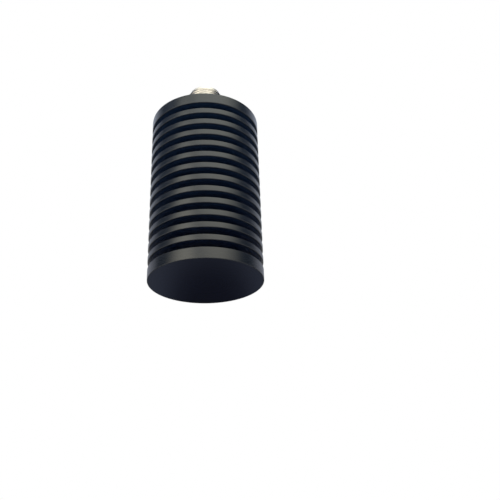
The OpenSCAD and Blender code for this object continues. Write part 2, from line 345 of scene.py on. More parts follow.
def drill(radius, low, high, places):
    """Plain round bars between two heights, used as one cutter."""
    bars = []
    for x, y in places:
        let_go()
        bpy.ops.mesh.primitive_cylinder_add(
            vertices=SMALL_STEPS, radius=radius, depth=high - low, location=(x, y, (low + high) / 2)
        )
        bars.append(bpy.context.object)
    for bar in bars:
        bar.select_set(True)
    bpy.ops.object.join()
    fix_place()
    return bpy.context.object


def combine(piece, other, operation="DIFFERENCE"):
    """Cut another object from a piece, or unite it with the piece, and delete that object."""
    pick(piece)
    cut = piece.modifiers.new("Cut", "BOOLEAN")
    cut.operation = operation
    cut.solver = "EXACT"
    cut.object = other
    bpy.ops.object.modifier_apply(modifier=cut.name)
    bpy.data.objects.remove(other)


def plate_holes(context):
    """Places of the plate's four screws."""
    reach = SCREW_HIGH.x - context.scene.dummy_load.fastener.head / 2
    return [(x * reach, y * reach) for x in (-1, 1) for y in (-1, 1)]


def seat(piece, finish, node):
    """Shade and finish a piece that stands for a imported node, and fix it to the part."""
    pick(piece)
    fix_place()
    bpy.ops.object.shade_smooth_by_angle(angle=SHARP_ANGLE)
    # Wide faces stay flat up to the small roundings at their edges
    flats = piece.modifiers.new("Flats", "WEIGHTED_NORMAL")
    flats.mode = "FACE_AREA"
    flats.weight = FLAT_PULL
    flats.keep_sharp = True
    bpy.ops.object.modifier_apply(modifier=flats.name)
    piece.data.materials.clear()
    piece.data.materials.append(finish)
    if not piece.data.polygons:
        raise RuntimeError(piece.name + " has no faces")
    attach(piece, "root")
    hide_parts(node)


def copies(master, name, places, turns):
    """Copy a piece to several places, each with its own mesh and its own turn about its axis."""
    made = []
    for number, (place, spin) in enumerate(zip(places, turns), 1):
        pick(master)
        bpy.ops.object.duplicate(linked=False)
        copy = bpy.context.object
        copy.name = f"{name}_{number}"
        copy.data.name = copy.name
        copy.location = (place[0], place[1], 0)
        copy.rotation_euler = (0, 0, spin)
        made.append(copy)
    bpy.data.objects.remove(master)
    return made


# Finishes

# Detail of the noise behind lathe marks, patches, clouds and specks
MARK_DETAIL = 2
PATCH_DETAIL = 3
CLOUD_DETAIL = 4
SPECK_DETAIL = 5
# How much the fine layers of a noise count
NOISE_ROUGHNESS = 0.6
# Range in which most of a noise's output lies
NOISE_RANGE = (0.3, 0.7)


def new_finish(name):
    """Empty finish: its material, its node tree and its shader."""
    material = bpy.data.materials.new(name)
    material.use_nodes = True
    tree = material.node_tree
    return material, tree, tree.nodes["Principled BSDF"]


def opaque(colour):
    """Colour with full cover, as a node's input takes it."""
    return (*colour, 1)


def connect(tree, node, inputs):
    """Give a node's inputs constants, or outputs of other nodes."""
    for key, value in inputs.items():
        if isinstance(value, bpy.types.NodeSocket):
            tree.links.new(value, node.inputs[key])
        else:
            node.inputs[key].default_value = value


def add(tree, kind, inputs=None, **options):
    """Add one shader node with its options and its inputs."""
    node = tree.nodes.new("ShaderNode" + kind)
    for key, value in options.items():
        setattr(node, key, value)
    connect(tree, node, inputs or {})
    return node


def work_out(tree, operation, *terms):
    """Number worked out from terms, each an output or a constant."""
    return add(tree, "Math", dict(enumerate(terms)), operation=operation).outputs["Value"]


def distance(tree, vector):
    """Length of a vector."""
    return add(tree, "VectorMath", {"Vector": vector}, operation="LENGTH").outputs["Value"]


def span(tree, start, given, wanted, **options):
    """Map an output from one range to another, held at both ends."""
    ranges = {"From Min": given[0], "From Max": given[1], "To Min": wanted[0], "To Max": wanted[1]}
    return add(tree, "MapRange", {"Value": start, **ranges}, **options).outputs["Result"]


def ramp(tree, start, stops):
    """Colour ramp of (place, colour) stops, fed by an output."""
    node = add(tree, "ValToRGB", {"Fac": start})
    elements = node.color_ramp.elements
    while len(elements) < len(stops):
        elements.new(1)
    for element, (place, colour) in zip(elements, stops):
        element.position = place
        element.color = opaque(colour)
    return node.outputs["Color"]


def layer(tree, factor, under, over, **options):
    """Lay one colour over another, each an output or a constant."""
    inputs = {"Factor": factor, "A": under, "B": over}
    return add(tree, "Mix", inputs, data_type="RGBA", **options).outputs["Result"]


def on_surface(tree):
    """Object coordinates of the surface."""
    return add(tree, "TexCoord").outputs["Object"]


def turned_path(tree):
    """Object coordinates, height, distance from the axis, and the tool's path: the sum of the last two."""
    coords = on_surface(tree)
    parts = add(tree, "SeparateXYZ", {"Vector": coords}).outputs
    flat = add(tree, "CombineXYZ", {"X": parts["X"], "Y": parts["Y"]}).outputs["Vector"]
    radius = distance(tree, flat)
    return coords, parts["Z"], radius, work_out(tree, "ADD", radius, parts["Z"])


def feed_marks(tree, path, pitch):
    """Rings that a lathe tool leaves along its path."""
    inputs = {"W": path, "Scale": 1 / pitch, "Detail": MARK_DETAIL, "Roughness": NOISE_ROUGHNESS}
    return add(tree, "TexNoise", inputs, noise_dimensions="1D").outputs["Fac"]


def grain(tree, coords, size, detail, stretch=(1, 1, 1)):
    """Cloudy noise of one grain size, stretched along the axes."""
    place = add(tree, "Mapping", {"Vector": coords, "Scale": stretch}).outputs["Vector"]
    inputs = {"Vector": place, "Scale": 1 / size, "Detail": detail, "Roughness": NOISE_ROUGHNESS}
    return add(tree, "TexNoise", inputs).outputs["Fac"]


def emboss(tree, source, depth):
    """Bump of one depth in metres, from an output."""
    return add(tree, "Bump", {"Strength": 1, "Distance": depth, "Height": source}).outputs["Normal"]


def clouded(tree, shader, noise, colour, dark_share, smooth, dull):
    """Darken a colour and dull its gloss where a noise is high."""
    dark = [dark_share * part for part in colour]
    connect(tree, shader, {
        "Base Color": layer(tree, noise, opaque(colour), opaque(dark)),
        "Roughness": span(tree, noise, NOISE_RANGE, (smooth, dull)),
    })


def anodised(tones, sizes):
    """Black dyed anodic layer on turned aluminium: satin, ringed by the tool, thin at the edges, with painted
    light and shade in its blue tones.
    """
    material, tree, shader = new_finish("black_anodised_turned")
    coords, height, radius, path = turned_path(tree)
    rim = sizes.diameter / 2
    # Painted light: the tone turns bluer and lighter towards the open end, standing for light that falls
    # there, and the dye is cloudy
    along = span(tree, height, (SINK_LOW.z, SINK_HIGH.z), (-0.5, 0.5))
    clouds = grain(tree, coords, 4 * MM, CLOUD_DETAIL, stretch=(1, 1, 0.4))
    painted_light_and_clouds = work_out(tree, "ADD", along, clouds)
    dye = layer(tree, painted_light_and_clouds, opaque(tones.anodised), opaque(tones.anodised_blue_painted_light))
    # The navy tone is partly the dye's own and partly the grooves' painted shade colour, so the rims and the
    # open end's face get a greyer tone
    greyed = (0, 0.8)
    rim_band = (rim - 1.2 * MM, rim - 0.3 * MM)
    top_band = (SINK_HIGH.z - 0.3 * MM, SINK_HIGH.z - 0.05 * MM)
    on_rim = span(tree, radius, rim_band, greyed)
    on_top = span(tree, height, top_band, greyed)
    dye = layer(tree, work_out(tree, "MAXIMUM", on_rim, on_top), dye, opaque(tones.grey_where_unshaded))
    # The layer is worn in patches on the edges between the rims and the fins' sides
    edge_starts = (rim - 0.3 * MM, rim - 0.1 * MM)
    edge_ends = (rim - 0.05 * MM, rim - 0.01 * MM)
    rise = span(tree, radius, edge_starts, (0, 1))
    fall = span(tree, radius, edge_ends, (1, 0))
    patches = grain(tree, coords, 1.5 * MM, PATCH_DETAIL)
    worn = span(tree, patches, (0.42, 0.7), (0.15, 1))
    wear = work_out(tree, "MULTIPLY", work_out(tree, "MULTIPLY", rise, fall), worn)
    marks = feed_marks(tree, path, pitch=0.16 * MM)
    connect(tree, shader, {
        "Base Color": layer(tree, wear, dye, opaque(tones.worn_edge)),
        "IOR": 1.6,
        "Roughness": span(tree, marks, NOISE_RANGE, (0.24, 0.32)),
        "Normal": emboss(tree, marks, depth=0.0015 * MM),
    })
    return material


def nickel(tones, sizes):
    """Nickel plating on turned brass: bright crests, with painted shade over dull, brownish plating in the
    thread's grooves.
    """
    material, tree, shader = new_finish("nickel_plated_turned")
    coords, height, radius, path = turned_path(tree)
    clouds = grain(tree, coords, 1.2 * MM, CLOUD_DETAIL)
    # Painted shade together with dirt: darkest at the thread's root, thinning out towards the crest
    root = sizes.thread / 2 - sizes.depth
    below_root = (root - 0.3 * sizes.depth, root)
    above_root = (root, root + 0.65 * sizes.depth)
    rise = span(tree, radius, below_root, (0, 1))
    fall = span(tree, radius, above_root, (1.7, 0.05))
    shade_and_dirt_at_root = work_out(tree, "MULTIPLY", clouds, work_out(tree, "MULTIPLY", rise, fall))
    # The lip is satin, and the corner at its foot is darkened: painted shade over dull plating
    lip_foot = SHELL_HIGH.z - sizes.lip
    corner_starts = (lip_foot - 0.05 * MM, lip_foot)
    corner_ends = (lip_foot + 0.7 * MM, lip_foot + 1.1 * MM)
    lip_starts = (lip_foot - 0.1 * MM, lip_foot + 0.1 * MM)
    past_foot = span(tree, height, corner_starts, (0, 0.85))
    off_foot = span(tree, height, corner_ends, (1, 0))
    painted_shade_and_dirt = work_out(tree, "MAXIMUM", shade_and_dirt_at_root, work_out(tree, "MULTIPLY", past_foot, off_foot))
    cloudy = span(tree, clouds, (0.3, 0.75), (0.16, 0.3))
    satin = span(tree, height, lip_starts, (0, 0.45))
    marks = feed_marks(tree, path, pitch=0.09 * MM)
    connect(tree, shader, {
        "Base Color": layer(tree, painted_shade_and_dirt, opaque(tones.nickel), opaque(tones.nickel_shade_and_dull)),
        "Metallic": 1,
        "Roughness": work_out(tree, "MAXIMUM", cloudy, satin),
        "Normal": emboss(tree, marks, depth=0.0012 * MM),
    })
    return material


def polished(name, colour, dark_share, smooth, dull, size):
    """Metal with fine rings from the lathe and clouds of one size between two levels of gloss."""
    material, tree, shader = new_finish(name)
    coords, *_, path = turned_path(tree)
    clouded(tree, shader, grain(tree, coords, size, CLOUD_DETAIL), colour, dark_share, smooth, dull)
    marks = feed_marks(tree, path, pitch=0.07 * MM)
    connect(tree, shader, {"Metallic": 1, "Normal": emboss(tree, marks, depth=0.0008 * MM)})
    return material


def brushed(name, colour, dark_share, smooth, dull, stretch=(1, 1, 1)):
    """Metal with scratches, which may be stretched along one way."""
    material, tree, shader = new_finish(name)
    scratches = grain(tree, on_surface(tree), 0.12 * MM, CLOUD_DETAIL, stretch)
    clouded(tree, shader, scratches, colour, dark_share, smooth, dull)
    connect(tree, shader, {"Metallic": 1, "Normal": emboss(tree, scratches, depth=0.002 * MM)})
    return material


def speckled(name, colour, dark_share, smooth, dull, size, metallic=0):
    """Plastic, ceramic or solder with a fine speckle and a faintly uneven surface."""
    material, tree, shader = new_finish(name)
    specks = grain(tree, on_surface(tree), size, SPECK_DETAIL)
    clouded(tree, shader, specks, colour, dark_share, smooth, dull)
    connect(tree, shader, {"Metallic": metallic, "Normal": emboss(tree, specks, depth=0.004 * MM)})
    return material


# Pieces


class DUMMYLOAD_OT_finned_body(bpy.types.Operator):
    """Turn the finned body with its bore, and drill its four tapped holes"""

    bl_idname = "dummyload.finned_body"
    bl_label = "Finned body"

    def execute(self, context):
        load = context.scene.dummy_load
        size = load.sink
        rim = size.diameter / 2
        core = size.core / 2
        bore = size.bore / 2
        free = size.height - size.closed_end - size.open_end - size.fin_count * size.fin
        groove = free / (size.fin_count + 1)
        outline = [
            (0, 0, 0),
            (rim, 0, size.edge),
            (rim, size.closed_end, size.edge),
            (core, size.closed_end, size.foot),
        ]
        for i in range(size.fin_count):
            low = size.closed_end + groove + i * (groove + size.fin)
            outline += [
                (core, low, size.foot),
                (rim, low, size.edge),
                (rim, low + size.fin, size.edge),
                (core, low + size.fin, size.foot),
            ]
        outline += [
            (core, size.height - size.open_end, size.foot),
            (rim, size.height - size.open_end, size.edge),
            (rim, size.height, size.edge),
            (bore, size.height, size.edge),
            (bore, size.bore_floor, size.foot),
            (0, size.bore_floor, 0),
        ]
        body = turn("finned_body", outline, BODY_STEPS)
        hole = load.fastener.screw / 2 + load.fastener.tapping
        combine(body, drill(hole, size.height - size.tapped, size.height + OVERRUN, plate_holes(context)))
        seat(body, anodised(load.tones, size), "heat_sink")
        return {"FINISHED"}


def thread_cutter(size, low, high):
    """Helical groove tool of a coupling thread between two heights."""
    root = size.thread / 2 - size.depth + size.root_gap
    tip = size.thread / 2 + CUTTER_RISE
    half_crest_gap = (size.pitch - size.crest) / 2
    lean = math.tan(size.flank)
    half_root = half_crest_gap - (size.thread / 2 - root) * lean
    half_tip = half_root + (tip - root) * lean
    points = [
        Vector((root, low - half_root)),
        Vector((root, low + half_root)),
        Vector((tip, low + half_tip)),
        Vector((tip, low - half_tip)),
    ]
    tool = draw("thread_cutter", closed(upright(points)))
    weld()
    helix = tool.modifiers.new("Helix", "SCREW")
    helix.axis = "Z"
    helix.angle = 2 * math.pi
    helix.screw_offset = size.pitch
    helix.iterations = math.ceil((high - low) / size.pitch)
    helix.steps = JACK_STEPS
    helix.render_steps = JACK_STEPS
    helix.use_smooth_shade = False
    bpy.ops.object.modifier_apply(modifier=helix.name)
    bpy.ops.object.mode_set(mode="EDIT")
    bpy.ops.mesh.select_all(action="SELECT")
    bpy.ops.mesh.fill_holes(sides=0)
    weld()
    return tool


def jack_plate(context, low, high):
    """Square plate with cut corners, rounded edges and its holes, between two heights."""
    load = context.scene.dummy_load
    size = load.jack
    first = math.acos(size.plate / 2 / size.plate_corner)
    last = math.pi / 2 - first
    points = []
    for quarter in range(4):
        for step in range(CUT_CORNER_STEPS + 1):
            way = quarter * math.pi / 2 + first + (last - first) * step / CUT_CORNER_STEPS
            x = math.cos(way) * size.plate_corner
            y = math.sin(way) * size.plate_corner
            points.append(Vector((x, y, low)))
    plate = draw("jack_plate", closed(points))
    bpy.ops.mesh.remove_doubles(threshold=MERGE)
    bpy.ops.mesh.edge_face_add()
    bpy.ops.mesh.extrude_region_move(TRANSFORM_OT_translate={"value": (0, 0, high - low)})
    weld()
    # Only the level edges are rounded
    for edge in plate.data.edges:
        start, end = (plate.data.vertices[i].co.z for i in edge.vertices)
        edge.select = abs(start - end) < MERGE
    for item in (*plate.data.vertices, *plate.data.polygons):
        item.select = False
    bpy.ops.object.mode_set(mode="EDIT")
    bpy.ops.mesh.select_mode(type="EDGE")
    bpy.ops.mesh.bevel(offset=size.plate_edge, segments=PLATE_EDGE_STEPS, affect="EDGES")
    bpy.ops.mesh.select_mode(type="VERT")
    bpy.ops.object.mode_set(mode="OBJECT")
    middle = (size.thread / 2 - size.depth + size.bead / 2) / 2
    combine(plate, drill(middle, low - OVERRUN, high + OVERRUN, [(0, 0)]))
    hole = load.fastener.screw / 2 + load.fastener.clearance
    combine(plate, drill(hole, low - OVERRUN, high + OVERRUN, plate_holes(context)))
    return plate


class DUMMYLOAD_OT_jack_body(bpy.types.Operator):
    """Turn the jack's shell, cut its coupling thread and unite it with its plate"""

    bl_idname = "dummyload.jack_body"
    bl_label = "Jack body"

    def execute(self, context):
        load = context.scene.dummy_load
        size = load.jack
        top = SHELL_HIGH.z
        plate_low = SINK_HIGH.z
        plate_high = plate_low + size.plate_thickness
        plate_middle = (plate_low + plate_high) / 2
        thread = size.thread / 2
        root = thread - size.depth
        lip = root - size.lip_step
        mouth = size.mouth / 2
        thread_top = top - size.lip - size.lead
        thread_low = thread_top - size.thread_length
        outline = [
            (size.bead / 2, SHELL_LOW.z, 0),
            (size.spigot / 2, SHELL_LOW.z, size.edge),
            (size.spigot / 2, plate_middle, 0),
            (root, plate_middle, 0),
            (root, thread_low - size.lead, 0),
            (thread, thread_low, 0),
            (thread, thread_top, 0),
            (root, thread_top + size.lead, 0),
            (lip, thread_top + size.lead, 0),
            (lip, top, size.edge),
            (mouth + size.mouth_bevel, top, size.edge),
            (mouth, top - size.mouth_bevel, size.edge),
            (mouth, top - size.mouth_depth, 0),
            (size.throat / 2, top - size.mouth_depth, size.edge),
            (size.throat / 2, BEAD_HIGH.z, 0),
            (size.bead / 2, BEAD_HIGH.z, 0),
        ]
        jack = turn("jack_body", outline, JACK_STEPS)
        low = thread_low - size.lead - size.pitch
        high = thread_top + size.lead + size.pitch / 2
        combine(jack, thread_cutter(size, low, high))
        combine(jack, jack_plate(context, plate_low, plate_high), "UNION")
        seat(jack, nickel(load.tones, size), "jack_shell")
        return {"FINISHED"}


class DUMMYLOAD_OT_jack_bead(bpy.types.Operator):
    """Turn the white insulator that holds the contact in the jack"""

    bl_idname = "dummyload.jack_bead"
    bl_label = "Jack bead"

    def execute(self, context):
        load = context.scene.dummy_load
        size = load.contact
        grip = size.tail / 2 + size.play
        hold = size.diameter / 2 + size.play
        step = BEAD_LOW.z + size.grip
        bead = turn(
            "jack_bead",
            [
                (grip, BEAD_LOW.z, 0),
                (BEAD_HIGH.x, BEAD_LOW.z, size.edge),
                (BEAD_HIGH.x, BEAD_HIGH.z, size.edge),
                (hold, BEAD_HIGH.z, size.edge),
                (hold, step, 0),
                (grip, step, 0),
            ],
            SMALL_STEPS,
        )
        finish = speckled(
            "white_insulator_moulded", load.tones.insulator,
            dark_share=0.94, smooth=0.38, dull=0.5, size=0.6 * MM,
        )
        seat(bead, finish, "jack_insulator")
        return {"FINISHED"}


class DUMMYLOAD_OT_jack_contact(bpy.types.Operator):
    """Turn the centre contact, saw its slits and file the flat on its tail"""

    bl_idname = "dummyload.jack_contact"
    bl_label = "Jack contact"

    def execute(self, context):
        load = context.scene.dummy_load
        size = load.contact
        outside = size.diameter / 2
        socket = size.socket / 2
        tail = size.tail / 2
        top = CONTACT_HIGH.z
        low = CONTACT_LOW.z
        step = BEAD_LOW.z + size.grip
        contact = turn(
            "jack_contact",
            [
                (0, low, 0),
                (tail, low, size.edge),
                (tail, step, 0),
                (outside, step, size.edge),
                (outside, top, 2 * size.edge),
                (socket, top, size.edge),
                (socket, top - size.socket_depth, 0),
                (0, top - size.socket_depth, 0),
            ],
            SMALL_STEPS,
        )
        half = size.slit / 2
        foot = top - size.slit_length
        combine(contact, block((-size.diameter, -half, foot), (size.diameter, half, top + OVERRUN)))
        combine(contact, block((-half, -size.diameter, foot), (half, size.diameter, top + OVERRUN)))
        flat_top = low + size.flat_length
        combine(contact, block((size.flat, -size.tail, low - OVERRUN), (size.tail, size.tail, flat_top)))
        finish = polished(
            "gold_plated_turned", load.tones.gold, dark_share=0.86, smooth=0.14, dull=0.24, size=0.8 * MM
        )
        seat(contact, finish, "centre_contact")
        return {"FINISHED"}


class DUMMYLOAD_OT_plate_screws(bpy.types.Operator):
    """Model one pan head screw with a cross recess and copy it to the plate's four holes"""

    bl_idname = "dummyload.plate_screws"
    bl_label = "Plate screws"

    # Turn of each screw's recess, in radians
    turns = (0.3, 1.1, 0.75, 0.05)

    def recess_arm(self, size, top, turned):
        """Tapered arm of the recess, at the axis, used as a cutter."""
        arm_length = size.recess_length / 2
        arm_width = size.recess_width / 2
        arm = block(
            (-arm_length, -arm_width, top - size.recess_depth),
            (arm_length, arm_width, top + size.recess_depth),
        )
        for point in arm.data.vertices:
            point.select = point.co.z < top
        bpy.ops.object.mode_set(mode="EDIT")
        lean = (1 - size.recess_taper) / 2
        bpy.ops.transform.resize(value=(1 - lean, 1 - lean, 1), center_override=(0, 0, top))
        bpy.ops.mesh.select_all(action="INVERT")
        bpy.ops.transform.resize(value=(1 + lean, 1 + lean, 1), center_override=(0, 0, top))
        bpy.ops.object.mode_set(mode="OBJECT")
        arm.rotation_euler = (0, 0, turned)
        fix_place()
        return arm

    def execute(self, context):
        load = context.scene.dummy_load
        size = load.fastener
        base = WASHER_HIGH.z
        top = base + size.head_height
        shank = size.screw / 2
        head = size.head / 2
        dome = size.head
        centre = top - dome
        outline = [
            (0, SCREW_LOW.z, 0),
            (shank, SCREW_LOW.z, 2 * size.edge),
            (shank, base, 0),
            (head, base, size.edge),
        ]
        reach = math.asin(head / dome)
        for step in range(DOME_STEPS + 1):
            lean = reach * (1 - step / DOME_STEPS)
            rounding = size.edge if step == 0 else 0
            outline.append((dome * math.sin(lean), centre + dome * math.cos(lean), rounding))
        screw = turn("plate_screw", outline, SMALL_STEPS)
        combine(screw, self.recess_arm(size, top, 0))
        combine(screw, self.recess_arm(size, top, math.pi / 2))
        finish = brushed("stainless_screw", load.tones.steel, dark_share=0.8, smooth=0.24, dull=0.4)
        for copy in copies(screw, "plate_screw", plate_holes(context), self.turns):
            seat(copy, finish, "plate_screws")
        return {"FINISHED"}


class DUMMYLOAD_OT_lock_washers(bpy.types.Operator):
    """Model one split washer and copy it under the four heads"""

    bl_idname = "dummyload.lock_washers"
    bl_label = "Lock washers"

    # Turn of each washer's split, in radians
    turns = (2.5, 0.6, 4.2, 5.6)

    def execute(self, context):
        load = context.scene.dummy_load
        size = load.fastener
        low = WASHER_LOW.z
        high = WASHER_HIGH.z
        inside = size.screw / 2 + size.tapping
        outside = size.washer / 2
        washer = turn(
            "lock_washer",
            [
                (inside, low, size.edge / 2),
                (outside, low, size.edge),
                (outside, high, size.edge),
                (inside, high, size.edge / 2),
            ],
            SMALL_STEPS,
        )
        half = size.split / 2
        saw = block((0, -half, -outside), (2 * outside, half, outside))
        saw.rotation_euler = (size.split_lean, 0, 0)
        saw.location = (0, 0, (low + high) / 2)
        fix_place()
        combine(washer, saw)
        finish = brushed(
            "stainless_washer", load.tones.steel, dark_share=0.7, smooth=0.3, dull=0.46, stretch=(1, 1, 0.3)
        )
        for copy in copies(washer, "lock_washer", plate_holes(context), self.turns):
            seat(copy, finish, "lock_washers")
        return {"FINISHED"}


class DUMMYLOAD_OT_load_resistor(bpy.types.Operator):
    """Finish the solids of the load resistor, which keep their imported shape"""

    bl_idname = "dummyload.load_resistor"
    bl_label = "Load resistor"

    def execute(self, context):
        tones = context.scene.dummy_load.tones
        ceramic = speckled(
            "white_ceramic_fired", tones.ceramic, dark_share=0.88, smooth=0.55, dull=0.7, size=0.25 * MM
        )
        finishes = {
            "resistor_carrier": brushed(
                "copper_milled", tones.copper, dark_share=0.75, smooth=0.25, dull=0.42, stretch=(1, 1, 0.08)
            ),
            "resistor_flange": brushed(
                "nickel_plated_flange", tones.nickel,
                dark_share=0.85, smooth=0.22, dull=0.36, stretch=(1, 0.1, 1),
            ),
            "resistor_ceramic": ceramic,
            "resistor_film": speckled(
                "printed_film_fired", tones.film, dark_share=0.6, smooth=0.5, dull=0.75, size=0.12 * MM
            ),
            "resistor_cover": ceramic,
            "resistor_tab": brushed(
                "silver_lead_rolled", tones.silver, dark_share=0.8, smooth=0.2, dull=0.34, stretch=(1, 1, 0.1)
            ),
            "resistor_screws": brushed(
                "stainless_small_screw", tones.steel, dark_share=0.8, smooth=0.24, dull=0.4
            ),
            "solder_bead": speckled(
                "solder_set", tones.solder, dark_share=0.8, smooth=0.2, dull=0.4, size=0.4 * MM, metallic=1
            ),
        }
        for name, finish in finishes.items():
            mesh = frame["nodes"][name].data
            mesh.materials.clear()
            mesh.materials.append(finish)
        return {"FINISHED"}


# Stage

# Gap between the part's foot and the floor
FLOOR_GAP = 0.02 * MM
# Colours of the room that gloss shows
WHITE = (1, 1, 1)
WINDOW = (1, 0.98, 0.81)
BRIGHT_PANE = (1.36, 1.325, 1.09)
WINDOW_BAR = (0.32, 0.32, 0.34)
DARK_SIDE = (0.006, 0.008, 0.012)
BACK = (0.265, 0.28, 0.32)
FAR_BACK = (0.28, 0.302, 0.35)
GROUND = (0.03, 0.03, 0.045)
LOW_WALL = (0.94, 0.91, 0.91)
HIGH_WALL = (1.01, 1.03, 1.07)
# Strength of the room in gloss, how much its back wall gains, and strength of the light on dull surfaces
MIRRORED_STRENGTH = 1.95
BACK_GAIN = 0.95
SOFT_STRENGTH = 0.6
# Width and height of the glowing card that paints a reflection into the closed end's gloss, height of its
# middle, and its gap behind the part
CARD_SIZE = (0.16, 0.08)
CARD_MIDDLE = -41 * MM
CARD_GAP = 3 * MM
# Softboxes: height above the horizon and height of the panel in degrees, distance, level and colour
SOFTBOX_HEIGHT = 32
SOFTBOX_TALL = 46
SOFTBOX_DISTANCE = 0.7
SOFTBOX_LEVEL = 1.2
SOFTBOX_TONE = (1, 0.99, 0.93)
# Width of the camera's sensor in millimetres, and where its view starts in metres
SENSOR_WIDTH = 36
CLIP_START = 0.01


def mix_shaders(tree, factor, first, second):
    """Blend two shaders by an output."""
    return add(tree, "MixShader", {"Fac": factor, 1: first, 2: second}).outputs["Shader"]


def floor_finish(size):
    """Pale floor that fades into the white room far out and is clear when seen from below."""
    material, tree, shader = new_finish("pale_floor")
    coords = on_surface(tree)
    specks = grain(tree, coords, 8 * MM, PATCH_DETAIL)
    speck_tone = [0.985 * part for part in size.floor_tone]
    connect(tree, shader, {
        "Base Color": layer(tree, specks, opaque(size.floor_tone), opaque(speck_tone)),
        "Roughness": 0.8,
        "Specular IOR Level": 0.1,
    })
    fade_band = (0.25 * size.floor, size.floor)
    fade = span(tree, distance(tree, coords), fade_band, (0, 1), interpolation_type="SMOOTHSTEP")
    from_below = add(tree, "NewGeometry").outputs["Backfacing"]
    clear = work_out(tree, "MAXIMUM", fade, from_below)
    glass = add(tree, "BsdfTransparent").outputs["BSDF"]
    mixed = mix_shaders(tree, clear, shader.outputs["BSDF"], glass)
    connect(tree, tree.nodes["Material Output"], {"Surface": mixed})
    return material


def lay_floor(size):
    """Flat ring around the part's foot, a hair below it."""
    let_go()
    foot = SINK_HIGH.x - bpy.context.scene.dummy_load.sink.edge
    bpy.ops.mesh.primitive_circle_add(
        vertices=BODY_STEPS, radius=foot, fill_type="NOTHING", location=(0, 0, SINK_LOW.z - FLOOR_GAP)
    )
    floor = bpy.context.object
    floor.name = "floor"
    fix_place()
    bpy.ops.object.mode_set(mode="EDIT")
    bpy.ops.mesh.select_all(action="SELECT")
    bpy.ops.mesh.extrude_edges_move()
    wide = size.floor / foot
    bpy.ops.transform.resize(value=(wide, wide, 1), center_override=(0, 0, 0))
    weld()
    if floor.data.polygons[0].normal.z < 0:
        floor.data.flip_normals()
    floor.data.materials.append(floor_finish(size))


def bearing_ramp(tree, bearing, stops):
    """Colour ramp of (degrees, colour) stops around the horizon, fed by a bearing in radians."""
    around = span(tree, bearing, (-math.pi, math.pi), (0, 1))
    return ramp(tree, around, [(0.5 + degrees / 360, colour) for degrees, colour in stops])


def room_walls(tree, up, front, bearing):
    """Window in front, which leans to the right with height, between dark sides and a pale back."""
    slope = -0.9
    in_front = span(tree, front, (-0.15, 0.1), (0, slope))
    leaning = work_out(tree, "MULTIPLY_ADD", up, in_front, bearing)
    return bearing_ramp(tree, leaning, [
        (-145, FAR_BACK), (-122, BACK), (-104, DARK_SIDE), (-98, DARK_SIDE),
        (-79, WINDOW), (-64, BRIGHT_PANE), (-50, BRIGHT_PANE), (-40, WINDOW), (10, WINDOW),
        (53, DARK_SIDE), (98, DARK_SIDE), (121, BACK), (145, FAR_BACK),
    ])


def window_bar(tree, up, bearing):
    """Bar across the window, which leans to the left with height and widens near its top."""
    slope = 1.75
    place = math.radians(31)
    half_width = 14
    leaning = work_out(tree, "MULTIPLY_ADD", up, slope, bearing)
    off_bar = work_out(tree, "SUBTRACT", leaning, place)
    widening = span(tree, up, (0.56, 0.63), (1, 2.4))
    across = work_out(tree, "DIVIDE", off_bar, widening)
    return bearing_ramp(tree, across, [(-half_width, WHITE), (0, WINDOW_BAR), (half_width, WHITE)])


def room_heights(tree, up):
    """Dark ground below the horizon, and walls that get whiter upwards."""
    rise = span(tree, up, (-1, 1), (0, 1))
    return ramp(tree, rise, [
        (0, GROUND), (0.47, GROUND), (0.53, LOW_WALL), (0.71, LOW_WALL), (0.75, WHITE), (0.83, HIGH_WALL),
    ])


def light_room():
    """White room for the camera; gloss shows a window in front, dark sides and a pale back."""
    world = bpy.data.worlds.new("studio")
    bpy.context.scene.world = world
    world.use_nodes = True
    world.cycles.sampling_method = "NONE"
    tree = world.node_tree
    tree.nodes.clear()
    way = add(tree, "TexCoord").outputs["Generated"]
    parts = add(tree, "SeparateXYZ", {"Vector": way}).outputs
    up = parts["Z"]
    front = work_out(tree, "MULTIPLY", parts["Y"], -1)
    bearing = work_out(tree, "ARCTAN2", parts["X"], front)
    heights = room_heights(tree, up)
    walls = room_walls(tree, up, front, bearing)
    barred = layer(tree, 1, walls, window_bar(tree, up, bearing), blend_type="MULTIPLY")
    room = layer(tree, 1, barred, heights, blend_type="MULTIPLY")
    # The back wall brightens upwards
    behind = span(tree, front, (-0.3, -0.65), (0, 1))
    climb = span(tree, up, (0.43, 0.64), (0, BACK_GAIN))
    strength = work_out(tree, "MULTIPLY_ADD", behind, climb, MIRRORED_STRENGTH)
    mirrored = add(tree, "Background", {"Color": room, "Strength": strength}).outputs["Background"]
    soft = add(tree, "Background", {"Color": heights, "Strength": SOFT_STRENGTH}).outputs["Background"]
    seen = add(tree, "Background", {"Color": opaque(WHITE), "Strength": 1}).outputs["Background"]
    ray = add(tree, "LightPath").outputs
    lit = mix_shaders(tree, ray["Is Glossy Ray"], soft, mirrored)
    direct = work_out(tree, "MAXIMUM", ray["Is Camera Ray"], ray["Is Transmission Ray"])
    add(tree, "OutputWorld", {"Surface": mix_shaders(tree, direct, lit, seen)})


def card_finish():
    """Glow of the card as a painted reflection, with the part's shadow painted in: dim at its middle and
    brighter outwards.
    """
    material, tree, shader = new_finish("painted_reflection_card")
    shade_middle = (2 * MM, 0, 0)
    shade_size = (21 * MM, 1, 30 * MM)
    in_shade = add(
        tree, "Mapping",
        {"Vector": on_surface(tree), "Location": shade_middle, "Scale": shade_size},
        vector_type="TEXTURE",
    ).outputs["Vector"]
    outwards = span(tree, distance(tree, in_shade), (0, 2), (0, 1))
    shade = (0.031, 0.034, 0.056)
    glow = ramp(tree, outwards, [
        (0, shade),
        (0.18, shade),
        (0.33, (0.05, 0.057, 0.09)),
        (0.53, (0.125, 0.145, 0.212)),
        (1, (0.25, 0.28, 0.36)),
    ])
    connect(tree, shader, {
        "Base Color": (0, 0, 0, 1),
        "Specular IOR Level": 0,
        "Emission Color": glow,
        "Emission Strength": 1,
    })
    material.cycles.emission_sampling = "NONE"
    return material


